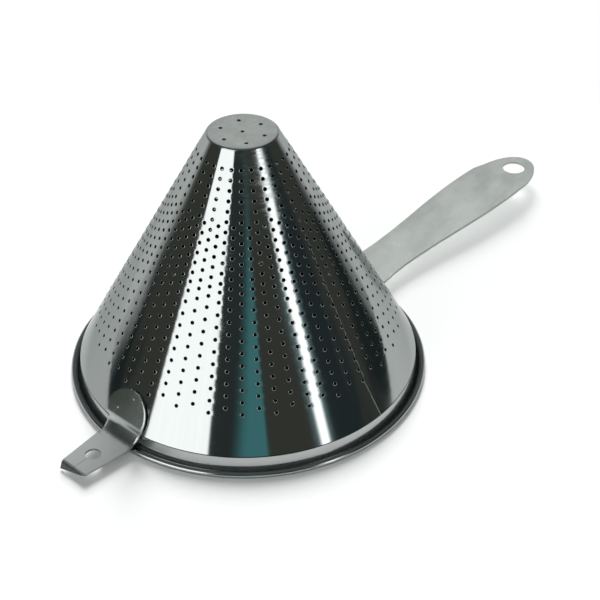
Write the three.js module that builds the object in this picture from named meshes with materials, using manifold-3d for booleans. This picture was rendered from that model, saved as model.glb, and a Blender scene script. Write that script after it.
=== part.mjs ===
// A conical strainer of perforated stainless sheet, standing upside down on its rim with the tip up.
// Millimetres, +Z up. The origin lies on the table, under the middle of the strainer's overall length,
// with the handle along +X and the rest hook along -X.

import * as THREE from 'three';
import { mergeGeometries, mergeVertices } from 'three/addons/utils/BufferGeometryUtils.js';
import loadManifold from 'manifold-3d';

const wasm = await loadManifold();
wasm.setup();

// Cone: outside sizes, with the foot where the cone meets the collar
const FOOT_RADIUS = 94.2;
const FOOT_HEIGHT = 10.4;
const CONE_RISE = 136.7;
const TIP_RADIUS = 18.4;
const SHEET = 0.6;
const SEAT_GAP = 0.3;

// Perforation: columns run up the cone, and every second one starts lower down and is staggered.
// The real sheet has twice as many rows: every second rung of its ladder of rows is punched here.
const COLUMNS = 60;
const HOLE_DIAMETER = 1.75;
const HOLE_SIDES = 3;
const FIRST_ROW_FROM_TIP = 10.9;
const FINE_PITCH = 10.3;
const FINE_PITCHES = 6.5;
const COARSE_PITCH = 12.6;
const STAGGERED_FROM_TIP = 42;
const PLAIN_FOOT = 20;

// Punches: pointed ones for the wall, measured from the middle of the sheet, and straight ones
const PUNCH_POINT = 9;
const PUNCH_HEAD = 2;
const PUNCH_LENGTH = 12;

// Tip cap
const TIP_SHOULDER = 2;
const TIP_SHOULDER_STEPS = 2;
const TIP_HOLE_CIRCLE = 12;
const TIP_HOLE_DIAMETER = 1.9;
const TIP_HOLES_AROUND = 6;
const TIP_HOLE_SIDES = 5;
const TIP_HOLE_TURN = THREE.MathUtils.degToRad(-6.8);

// Rim ring and the wire in its bead
const RIM_OVERHANG = 5.8;
const BEAD_DIAMETER = 3.5;
const BEAD_TURN = THREE.MathUtils.degToRad(270);
const BEAD_STEPS = 5;
const COLLAR_FLARE = THREE.MathUtils.degToRad(10);
const COLLAR_BEND = 1;
const COLLAR_BEND_STEPS = 2;
const WIRE_SIDES = 5;

// Round heads of the hook and the handle are cut off this far from their top, so that they end in a flat
const HEAD_FLAT = 0.4;

// Rest hook: a stamped tab whose round head lies on the cone
const HOOK_SHEET = 1.2;
const HOOK_HEAD_RADIUS = 14;
const HOOK_HEAD_STEPS = 7;
const HOOK_HEAD_RISE = 21.3;
const HOOK_NECK_RISE = 3;
const HOOK_NECK_SLOPE = THREE.MathUtils.degToRad(-53);
const HOOK_NECK_WIDTH = 25.8;
const HOOK_CORNER_RADIUS = 3;
const HOOK_CORNER_STEPS = 4;
const HOOK_TAB_LENGTH = 26.5;
const HOOK_TAB_END_WIDTH = 17.4;
const HOOK_LIP_RADIUS = 1.6;
const HOOK_LIP_STEPS = 3;
const HOOK_LIP_SLOPE = THREE.MathUtils.degToRad(-68);
const HOOK_LIP_TABLE_GAP = 0.4;
const HOOK_LIP_END_WIDTH = 11;
const HOOK_HOLE_DIAMETER = 8.4;
const HOOK_HOLE_FROM_END = 12;
const HOOK_HOLE_SIDES = 12;

// Handle: a stamped paddle with a welded root, slightly dished along the grip
const HANDLE_SHEET = 1.5;
const HANDLE_ROOT_RADIUS = 17;
const HANDLE_ROOT_RISE = 24;
const HANDLE_ROOT_STEPS = 7;
const HANDLE_BEND_RADIUS = 10;
const HANDLE_BEND_STEPS = 6;
const HANDLE_SLOPE = THREE.MathUtils.degToRad(1.5);
const HANDLE_OVER_BEAD = 2;
const HANDLE_LENGTH = 174;
const HANDLE_NECK_WIDTH = 28.6;
const HANDLE_NECK_FROM_RIM = 25;
const HANDLE_GRIP_WIDTH = 39;
const HANDLE_GRIP_FROM_END = 54;
const HANDLE_GRIP_STEPS = 8;
const HANDLE_END_POWER = 3;
const HANDLE_END_FLAT = 3;
const HANDLE_END_STEPS = 9;
const HANDLE_DISH = 1.2;
const HANDLE_DISH_PANELS = 4;
const HANDLE_HOLE_DIAMETER = 14.8;
const HANDLE_HOLE_FROM_END = 14.5;
const HANDLE_HOLE_SIDES = 16;

// Derived sizes of the cone. Slants are measured along the outside of the wall.
const HEIGHT = FOOT_HEIGHT + CONE_RISE;
const HALF_ANGLE = Math.atan2(FOOT_RADIUS - TIP_RADIUS, CONE_RISE);
const SLANT = Math.hypot(FOOT_RADIUS - TIP_RADIUS, CONE_RISE);
const SHOULDER_SLANT = TIP_SHOULDER * Math.tan((Math.PI / 2 - HALF_ANGLE) / 2);
const RIM_RADIUS = FOOT_RADIUS + RIM_OVERHANG;
const BEAD_RADIUS = BEAD_DIAMETER / 2;
const WALL_SLOPE = HALF_ANGLE - Math.PI / 2;

/** The point [radius, height] on the cone at a slant above the foot, moved out along the wall's normal. */
function onCone(slant, outward = 0) {
  return new THREE.Vector2(
    FOOT_RADIUS - slant * Math.sin(HALF_ANGLE) + outward * Math.cos(HALF_ANGLE),
    FOOT_HEIGHT + slant * Math.cos(HALF_ANGLE) + outward * Math.sin(HALF_ANGLE),
  );
}

/** Points on a circular arc in the section plane, from one angle to another. */
function arcPoints(centre, radius, from, to, steps) {
  return Array.from({ length: steps + 1 }, (_, i) => {
    const angle = from + (to - from) * i / steps;
    return new THREE.Vector2(centre.x + radius * Math.cos(angle), centre.y + radius * Math.sin(angle));
  });
}

/** A section turned about the Z axis, with the middle of a flat at every column of holes. */
function revolve(section) {
  const halfFlat = Math.PI / COLUMNS;
  return new THREE.LatheGeometry(section, COLUMNS, halfFlat).rotateX(Math.PI / 2);
}

/** A closed geometry as a solid: shared corners are merged and collapsed triangles dropped. */
function solidOf(geometry) {
  const bare = new THREE.BufferGeometry();
  bare.setAttribute('position', geometry.getAttribute('position').clone());
  bare.setIndex(geometry.getIndex());
  const merged = mergeVertices(bare);
  const corners = merged.getIndex().array;
  const kept = [];
  for (let i = 0; i < corners.length; i += 3) {
    const [a, b, c] = corners.slice(i, i + 3);
    if (a !== b && b !== c && c !== a) {
      kept.push(a, b, c);
    }
  }
  return new wasm.Manifold(new wasm.Mesh({
    numProp: 3,
    vertProperties: new Float32Array(merged.getAttribute('position').array),
    triVerts: new Uint32Array(kept),
  }));
}

/** The first geometry with all the others cut out of it. */
function cut(geometry, cutters) {
  const result = solidOf(geometry).subtract(solidOf(mergeGeometries(cutters))).getMesh();
  const left = new THREE.BufferGeometry();
  left.setAttribute('position', new THREE.BufferAttribute(result.vertProperties, result.numProp));
  left.setIndex(new THREE.BufferAttribute(result.triVerts, 1));
  return left;
}

/** A straight punch with its middle at a point and its axis along a direction. */
function punch(radius, sides, at, direction) {
  const turn = new THREE.Quaternion().setFromUnitVectors(new THREE.Vector3(0, 1, 0), direction);
  return new THREE.CylinderGeometry(radius, radius, PUNCH_LENGTH, sides)
    .applyQuaternion(turn)
    .translate(at.x, at.y, at.z);
}

/** A pointed punch that has the given radius at a point, with its head out along a direction. */
function pointedPunch(radius, sides, at, direction) {
  const turn = new THREE.Quaternion().setFromUnitVectors(new THREE.Vector3(0, -1, 0), direction);
  const height = PUNCH_POINT + PUNCH_HEAD;
  const middle = at.clone().addScaledVector(direction, (PUNCH_HEAD - PUNCH_POINT) / 2);
  return new THREE.ConeGeometry(radius * height / PUNCH_POINT, height, sides)
    .applyQuaternion(turn)
    .translate(middle.x, middle.y, middle.z);
}

/** The circumradius of a polygon that has the area of a circle. */
function equalAreaRadius(diameter, sides) {
  const half = Math.PI / sides;
  return diameter / 2 * Math.sqrt(half / (Math.sin(half) * Math.cos(half)));
}

/** The point on the axis where the wall, moved out along its normal, would come to a point. */
function apex(outward = 0) {
  const footRadius = FOOT_RADIUS + outward / Math.cos(HALF_ANGLE);
  return new THREE.Vector2(0, FOOT_HEIGHT + footRadius / Math.tan(HALF_ANGLE));
}

/**
 * The wall of the cone, punched along columns of holes. The first column lies on the seam and is left plain.
 * The sheet is turned up to its apex, so that each flat is one whole triangle, and then cut off square.
 */
function coneWall() {
  const top = SLANT - SHOULDER_SLANT - SEAT_GAP;
  const sheet = [apex(-SHEET), onCone(0, -SHEET), onCone(0), apex()];
  const squareToAxis = onCone(top).x / Math.cos(HALF_ANGLE);
  const tip = [onCone(top, -squareToAxis), onCone(top, PUNCH_HEAD), apex(PUNCH_HEAD)];
  const holeRadius = equalAreaRadius(HOLE_DIAMETER, HOLE_SIDES);
  const rungFromTip = (rung) => {
    const fine = Math.min(rung, FINE_PITCHES) * FINE_PITCH;
    const coarse = Math.max(rung - FINE_PITCHES, 0) * COARSE_PITCH;
    return FIRST_ROW_FROM_TIP + fine + coarse;
  };
  const holes = [];
  for (let column = 1; column < COLUMNS; column += 1) {
    const turn = 2 * Math.PI * column / COLUMNS;
    const out = new THREE.Vector2(Math.sin(turn), -Math.cos(turn));
    const normal = new THREE.Vector3(out.x, out.y, Math.tan(HALF_ANGLE)).normalize();
    const staggered = column % 2 === 1;
    for (let rung = staggered ? 0.5 : 0; rungFromTip(rung) <= SLANT - PLAIN_FOOT; rung += 1) {
      if (staggered && rungFromTip(rung) < STAGGERED_FROM_TIP) {
        continue;
      }
      const spot = onCone(SLANT - rungFromTip(rung), -SHEET / 2);
      const at = new THREE.Vector3(out.x * spot.x, out.y * spot.x, spot.y);
      holes.push(pointedPunch(holeRadius, HOLE_SIDES, at, normal));
    }
  }
  return cut(revolve(sheet), [revolve(tip), ...holes]);
}

/** The flat end of the cone with its rounded shoulder, one hole in the middle and a ring of holes. */
function tipCap() {
  const centre = onCone(SLANT - SHOULDER_SLANT, -TIP_SHOULDER);
  const outer = arcPoints(centre, TIP_SHOULDER, HALF_ANGLE, Math.PI / 2, TIP_SHOULDER_STEPS);
  const inner = arcPoints(centre, TIP_SHOULDER - SHEET, Math.PI / 2, HALF_ANGLE, TIP_SHOULDER_STEPS);
  const section = [
    new THREE.Vector2(0, HEIGHT - SHEET),
    ...inner,
    ...outer,
    new THREE.Vector2(0, HEIGHT),
  ];
  const up = new THREE.Vector3(0, 0, 1);
  const radius = equalAreaRadius(TIP_HOLE_DIAMETER, TIP_HOLE_SIDES);
  const holes = [punch(radius, TIP_HOLE_SIDES, new THREE.Vector3(0, 0, HEIGHT), up)];
  for (let i = 0; i < TIP_HOLES_AROUND; i += 1) {
    const angle = TIP_HOLE_TURN + 2 * Math.PI * i / TIP_HOLES_AROUND;
    const at = new THREE.Vector3(Math.cos(angle), Math.sin(angle), 0).multiplyScalar(TIP_HOLE_CIRCLE);
    holes.push(punch(radius, TIP_HOLE_SIDES, at.setZ(HEIGHT), up));
  }
  return cut(revolve(section), holes);
}

/** The middle of the bead's section. */
function beadCentre() {
  return new THREE.Vector2(RIM_RADIUS - BEAD_RADIUS, BEAD_RADIUS);
}

/** The radius of the flared collar at a height, moved out square to the collar. */
function collarRadius(height, outward = 0) {
  const flared = (FOOT_HEIGHT - height) * Math.tan(COLLAR_FLARE);
  return FOOT_RADIUS + flared + outward / Math.cos(COLLAR_FLARE);
}

/** The rim: a flared collar that bends outwards at the table and is rolled up into an open bead. */
function rimRing() {
  const top = FOOT_HEIGHT - SHEET * Math.sin(HALF_ANGLE) - SEAT_GAP;
  const bendHeight = COLLAR_BEND + SHEET;
  const bendCentre = new THREE.Vector2(collarRadius(bendHeight, COLLAR_BEND), bendHeight);
  const bendStart = Math.PI + COLLAR_FLARE;
  const bendEnd = 3 * Math.PI / 2;
  const rollStart = -Math.PI / 2;
  const rollEnd = rollStart + BEAD_TURN;
  const under = [
    new THREE.Vector2(collarRadius(top, -SHEET), top),
    ...arcPoints(bendCentre, COLLAR_BEND + SHEET, bendStart, bendEnd, COLLAR_BEND_STEPS),
    ...arcPoints(beadCentre(), BEAD_RADIUS, rollStart, rollEnd, BEAD_STEPS),
  ];
  const over = [
    ...arcPoints(beadCentre(), BEAD_RADIUS - SHEET, rollEnd, rollStart, BEAD_STEPS),
    ...arcPoints(bendCentre, COLLAR_BEND, bendEnd, bendStart, COLLAR_BEND_STEPS),
    new THREE.Vector2(collarRadius(top), top),
  ];
  return revolve([...under, ...over, under[0]]);
}

/** The wire inside the rolled bead. */
function rimWire() {
  const radius = BEAD_RADIUS - SHEET - SEAT_GAP;
  return revolve(arcPoints(beadCentre(), radius, 0, 2 * Math.PI, WIRE_SIDES));
}

/** The line of a bent strip in the XZ plane, made of straight runs and bends, with stations along it. */
class BendLine {
  constructor(start, heading) {
    this.stations = [{ x: start.x, z: start.y, heading, length: 0 }];
  }

  get end() {
    return this.stations[this.stations.length - 1];
  }

  /** A straight run, with a station at each fraction of its length. */
  run(length, fractions = [1]) {
    const { x, z, heading, length: before } = this.end;
    for (const part of fractions) {
      this.stations.push({
        x: x + part * length * Math.cos(heading),
        z: z + part * length * Math.sin(heading),
        heading,
        length: before + part * length,
      });
    }
    return this;
  }

  /** A bend to a new heading. The radius is the line's own; 0 is a sharp fold. */
  bend(heading, radius, steps) {
    const { x, z, heading: first, length: before } = this.end;
    const side = Math.sign(heading - first);
    for (let i = 1; i <= steps; i += 1) {
      const now = first + (heading - first) * i / steps;
      this.stations.push({
        x: x + side * radius * (Math.sin(now) - Math.sin(first)),
        z: z - side * radius * (Math.cos(now) - Math.cos(first)),
        heading: now,
        length: before + radius * Math.abs(now - first),
      });
    }
    return this;
  }
}

/** Even fractions up to 1. */
function evenFractions(steps) {
  return Array.from({ length: steps }, (_, i) => (i + 1) / steps);
}

/** Fractions up to 1 that crowd towards the start (or the end) as round outlines need. */
function crowdedFractions(steps, atEnd) {
  return Array.from({ length: steps }, (_, i) => {
    const quarter = (i + 1) / steps * Math.PI / 2;
    return atEnd ? Math.sin(quarter) : 1 - Math.cos(quarter);
  });
}

/** A plate lofted along a bend line: the line is its underside, and a dish lifts its two edges. */
function loftPlate(stations, thickness, halfWidth, dish, panels) {
  const positions = [];
  const indices = [];
  const across = panels + 1;
  const ring = 2 * across;
  for (const station of stations) {
    const half = halfWidth(station);
    const lift = dish(station);
    for (let i = 0; i < ring; i += 1) {
      const onTop = i >= across;
      const part = 2 * (onTop ? ring - 1 - i : i) / panels - 1;
      const height = lift * part * part + (onTop ? thickness : 0);
      positions.push(
        station.x - height * Math.sin(station.heading),
        part * half,
        station.z + height * Math.cos(station.heading),
      );
    }
  }
  for (let row = 0; row + 1 < stations.length; row += 1) {
    for (let i = 0; i < ring; i += 1) {
      const next = (i + 1) % ring;
      const a = row * ring + i;
      const b = row * ring + next;
      indices.push(a, b, a + ring, b, b + ring, a + ring);
    }
  }
  const last = (stations.length - 1) * ring;
  for (let i = 0; i < panels; i += 1) {
    const top = ring - 1 - i;
    indices.push(i, top, i + 1, i + 1, top, top - 1);
    indices.push(last + i, last + i + 1, last + top, last + i + 1, last + top - 1, last + top);
  }
  const geometry = new THREE.BufferGeometry();
  geometry.setAttribute('position', new THREE.Float32BufferAttribute(positions, 3));
  geometry.setIndex(indices);
  return geometry;
}

/** Half the width of a round head at a distance from its top. */
function roundHead(radius, fromTop) {
  return Math.sqrt(Math.max(radius * radius - (radius - fromTop) ** 2, 0));
}

/** A value that eases from one to another, level at both ends. */
function ease(from, to, part) {
  return from + (to - from) * THREE.MathUtils.smoothstep(part, 0, 1);
}

/** A punch square through a flat stretch of plate at a point of its underside. */
function platePunch(diameter, sides, x, z, heading) {
  const normal = new THREE.Vector3(-Math.sin(heading), 0, Math.cos(heading));
  return punch(diameter / 2, sides, new THREE.Vector3(x, 0, z), normal);
}

/** The rest hook. It is lofted along +X like the handle, and turned round by its mesh. */
function restHook() {
  const line = new BendLine(onCone(HOOK_HEAD_RISE - HEAD_FLAT, SEAT_GAP), WALL_SLOPE);
  line.run(HOOK_HEAD_RISE - HOOK_NECK_RISE - HEAD_FLAT, crowdedFractions(HOOK_HEAD_STEPS, false));
  line.bend(HOOK_NECK_SLOPE, 0, 1);
  const underside = BEAD_DIAMETER + SEAT_GAP;
  const cornerDrop = HOOK_CORNER_RADIUS * (1 - Math.cos(HOOK_NECK_SLOPE));
  line.run((line.end.z - underside - cornerDrop) / -Math.sin(HOOK_NECK_SLOPE));
  const neckEnd = line.end.length;
  line.bend(0, HOOK_CORNER_RADIUS, HOOK_CORNER_STEPS);
  line.run(HOOK_TAB_LENGTH);
  const tabEnd = line.end;
  line.bend(HOOK_LIP_SLOPE, HOOK_LIP_RADIUS, HOOK_LIP_STEPS);
  line.run((line.end.z - HOOK_LIP_TABLE_GAP) / -Math.sin(HOOK_LIP_SLOPE), evenFractions(2));
  const lipLength = line.end.length - tabEnd.length;
  const halfWidth = ({ length }) => {
    if (length > tabEnd.length) {
      return ease(HOOK_TAB_END_WIDTH, HOOK_LIP_END_WIDTH, (length - tabEnd.length) / lipLength) / 2;
    }
    const along = Math.max(length - neckEnd, 0) / (tabEnd.length - neckEnd);
    const tab = THREE.MathUtils.lerp(HOOK_NECK_WIDTH, HOOK_TAB_END_WIDTH, along) / 2;
    const head = roundHead(HOOK_HEAD_RADIUS, length + HEAD_FLAT);
    return length < HOOK_HEAD_RADIUS ? head : Math.max(head, tab);
  };
  const plate = loftPlate(line.stations, HOOK_SHEET, halfWidth, () => 0, 1);
  const holeX = tabEnd.x - HOOK_HOLE_FROM_END;
  return cut(plate, [platePunch(HOOK_HOLE_DIAMETER, HOOK_HOLE_SIDES, holeX, tabEnd.z, 0)]);
}

/** The bend line of the handle: down the cone from the top of the root, then out over the bead. */
function handleLine() {
  const bendDrop = HANDLE_BEND_RADIUS * (Math.cos(HANDLE_SLOPE) - Math.cos(WALL_SLOPE));
  const bendStart = BEAD_DIAMETER + HANDLE_OVER_BEAD + bendDrop;
  const start = onCone(HANDLE_ROOT_RISE - HEAD_FLAT, SEAT_GAP);
  const line = new BendLine(start, WALL_SLOPE);
  line.run((start.y - bendStart) / Math.cos(HALF_ANGLE), crowdedFractions(HANDLE_ROOT_STEPS, false));
  line.bend(HANDLE_SLOPE, HANDLE_BEND_RADIUS, HANDLE_BEND_STEPS);
  const gripX = RIM_RADIUS + HANDLE_LENGTH - HANDLE_GRIP_FROM_END;
  line.run((gripX - line.end.x) / Math.cos(HANDLE_SLOPE), evenFractions(HANDLE_GRIP_STEPS));
  line.run(HANDLE_GRIP_FROM_END / Math.cos(HANDLE_SLOPE), crowdedFractions(HANDLE_END_STEPS, true));
  return line;
}

/** The paddle handle with its hanging hole. */
function handle() {
  const line = handleLine();
  const neckX = RIM_RADIUS + HANDLE_NECK_FROM_RIM;
  const endX = RIM_RADIUS + HANDLE_LENGTH;
  const gripX = endX - HANDLE_GRIP_FROM_END;
  const rootX = line.stations.find(({ length }) => length + HEAD_FLAT >= HANDLE_ROOT_RADIUS).x;
  const halfWidth = ({ x, length }) => {
    if (length + HEAD_FLAT < HANDLE_ROOT_RADIUS) {
      return roundHead(HANDLE_ROOT_RADIUS, length + HEAD_FLAT);
    }
    if (x < neckX) {
      return ease(HANDLE_ROOT_RADIUS, HANDLE_NECK_WIDTH / 2, (x - rootX) / (neckX - rootX));
    }
    if (x < gripX) {
      return ease(HANDLE_NECK_WIDTH, HANDLE_GRIP_WIDTH, (x - neckX) / (gripX - neckX)) / 2;
    }
    const past = Math.min((x - gripX) / HANDLE_GRIP_FROM_END, 1);
    const round = Math.sqrt(1 - past ** HANDLE_END_POWER);
    return Math.max(HANDLE_GRIP_WIDTH * round, HANDLE_END_FLAT) / 2;
  };
  const holeX = endX - HANDLE_HOLE_FROM_END;
  const dishEnd = holeX - HANDLE_HOLE_DIAMETER / 2;
  const dish = ({ x }) => {
    const rise = THREE.MathUtils.smoothstep(x, RIM_RADIUS, gripX);
    const fall = 1 - THREE.MathUtils.smoothstep(x, gripX, dishEnd);
    return HANDLE_DISH * Math.min(rise, fall);
  };
  const plate = loftPlate(line.stations, HANDLE_SHEET, halfWidth, dish, HANDLE_DISH_PANELS);
  const holeZ = line.end.z - HANDLE_HOLE_FROM_END * Math.tan(HANDLE_SLOPE);
  return cut(plate, [platePunch(HANDLE_HOLE_DIAMETER, HANDLE_HOLE_SIDES, holeX, holeZ, HANDLE_SLOPE)]);
}

/** A named sub-part in its own finish. */
function subPart(name, geometry, color, roughness) {
  const material = new THREE.MeshStandardMaterial({ color, roughness, metalness: 1, flatShading: true });
  const mesh = new THREE.Mesh(geometry, material);
  mesh.name = name;
  return mesh;
}

const hook = subPart('rest_hook', restHook(), 0xb4bab6, 0.3);
hook.rotation.z = Math.PI;

const strainer = new THREE.Group();
strainer.add(
  subPart('cone_wall', coneWall(), 0xc4c9c8, 0.12),
  subPart('tip_cap', tipCap(), 0xb0b5b0, 0.38),
  subPart('rim_ring', rimRing(), 0xbcc2c0, 0.22),
  subPart('rim_wire', rimWire(), 0x9a9d9c, 0.4),
  hook,
  subPart('handle', handle(), 0xb4bab6, 0.42),
);

// The origin is half way between the end of the handle and the end of the hook
strainer.updateMatrixWorld(true);
const reach = new THREE.Box3().setFromObject(strainer, true);
strainer.position.x = -(reach.min.x + reach.max.x) / 2;

export default strainer;
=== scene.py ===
from math import atan2, cos, degrees, hypot, pi, radians, sin, tan

import bpy
import numpy as np
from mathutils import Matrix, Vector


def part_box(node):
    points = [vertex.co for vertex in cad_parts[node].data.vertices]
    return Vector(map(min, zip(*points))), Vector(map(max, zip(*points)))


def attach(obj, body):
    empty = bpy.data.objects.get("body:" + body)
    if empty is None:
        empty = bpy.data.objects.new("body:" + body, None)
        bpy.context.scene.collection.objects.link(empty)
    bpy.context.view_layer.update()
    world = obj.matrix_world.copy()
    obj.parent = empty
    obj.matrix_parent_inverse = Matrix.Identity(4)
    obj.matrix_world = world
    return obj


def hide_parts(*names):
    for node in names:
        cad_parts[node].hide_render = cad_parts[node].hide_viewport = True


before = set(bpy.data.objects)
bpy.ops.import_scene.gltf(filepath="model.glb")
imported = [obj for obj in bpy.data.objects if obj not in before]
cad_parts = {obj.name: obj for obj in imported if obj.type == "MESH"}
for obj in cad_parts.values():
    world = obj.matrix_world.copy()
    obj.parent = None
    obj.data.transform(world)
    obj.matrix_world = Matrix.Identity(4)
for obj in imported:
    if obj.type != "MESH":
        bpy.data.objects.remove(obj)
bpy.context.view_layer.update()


# Cone wall
# Stainless sheet, punched flat with columns of round holes, rolled into a cone and closed by one welded
# seam, then polished. The punch leaves a low burr round each hole on the outside.

MM = 0.001
rim_low, rim_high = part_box("rim_ring")
axis_x = (rim_low.x + rim_high.x) / 2
tip_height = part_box("tip_cap")[1].z
foot_height = 10.4 * MM
foot_radius = 94.2 * MM
tip_radius = 18.4 * MM
sheet = 0.6 * MM
weld_gap = 0.3 * MM
half_angle = atan2(foot_radius - tip_radius, tip_height - foot_height)
slant = hypot(foot_radius - tip_radius, tip_height - foot_height)
shoulder = 2.0 * MM
shoulder_slant = shoulder * tan((pi / 2 - half_angle) / 2)
tip_joint = 0.02 * MM

columns = 60
# Runs of rows: the first row's place on the slant from the tip's edge and the pitch, in mm, and the count
punch_runs = ((10.9, 5.2, 12), (72.5, 5.2, 2), (84.1, 6.3, 9))
first_short_row = 11
hole_radius = 0.95 * MM
burr_width = 0.22 * MM
burr_height = 0.1 * MM
burr_slope = radians(38)
hole_sides = 16
seam_turn = -pi / 2
seam_start = 50.0 * MM
seam_taper = 40.0 * MM
# How far the seam drifts off its column and swings out, at places on the slant from the tip's edge, in mm
seam_drift = ((50, 0.0), (100, 0.2), (136, 0.8), (156, 2.9))
seam_scallop = ((60, 0.1), (136, 0.9))
seam_half_width = 0.17 * MM
seam_height = 0.08 * MM
seam_rows = 300
seam_sides = 8


def on_cone(turn, from_tip, out=0.0):
    """Points of the cone. For each unit of slant from the tip's edge the radius grows by the sine of the half
    angle and the height drops by its cosine. A point that is moved out goes along the wall's normal."""
    turn, from_tip, out = np.broadcast_arrays(turn, from_tip, out)
    radius = tip_radius + from_tip * sin(half_angle) + out * cos(half_angle)
    height = tip_height - from_tip * cos(half_angle) + out * sin(half_angle)
    return np.stack([axis_x + radius * np.cos(turn), radius * np.sin(turn), height], axis=-1)


def wall_directions(turn):
    """The three directions at a turn round the axis: round the cone, down its slant, and out of the wall."""
    level = np.zeros_like(turn)
    around = np.stack([-np.sin(turn), np.cos(turn), level], axis=-1)
    from_axis = np.stack([np.cos(turn), np.sin(turn), level], axis=-1)
    up = np.array([0.0, 0.0, 1.0])
    down = sin(half_angle) * from_axis - cos(half_angle) * up
    out = cos(half_angle) * from_axis + sin(half_angle) * up
    return around, down, out


def grid_quads(index, around=False):
    """Faces between the rows and columns of a grid of point numbers. Their front is where the cross product
    of the direction along the rows' count and the one along the columns' count points."""
    if around:
        index = np.concatenate([index, index[:, :1]], axis=1)
    corners = [index[:-1, :-1], index[1:, :-1], index[1:, 1:], index[:-1, 1:]]
    return np.stack(corners, axis=-1).reshape(-1, 4)


def make_piece(name, node, points, face_sets, corner_normals=None):
    """A mesh object that stands for a CAD node. Points that no face uses are left out."""
    used = np.unique(np.concatenate([faces.ravel() for faces in face_sets]))
    renumbered = np.zeros(len(points), dtype=int)
    renumbered[used] = np.arange(len(used))
    mesh = bpy.data.meshes.new(name)
    faces = [face for faces in face_sets for face in renumbered[faces].tolist()]
    mesh.from_pydata(points[used].tolist(), [], faces)
    mesh.shade_smooth()
    if corner_normals is not None:
        mesh.normals_split_custom_set(np.concatenate([n.reshape(-1, 3) for n in corner_normals]).tolist())
    piece = bpy.data.objects.new(name, mesh)
    bpy.context.scene.collection.objects.link(piece)
    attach(piece, "root")
    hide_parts(node)
    return piece


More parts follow.
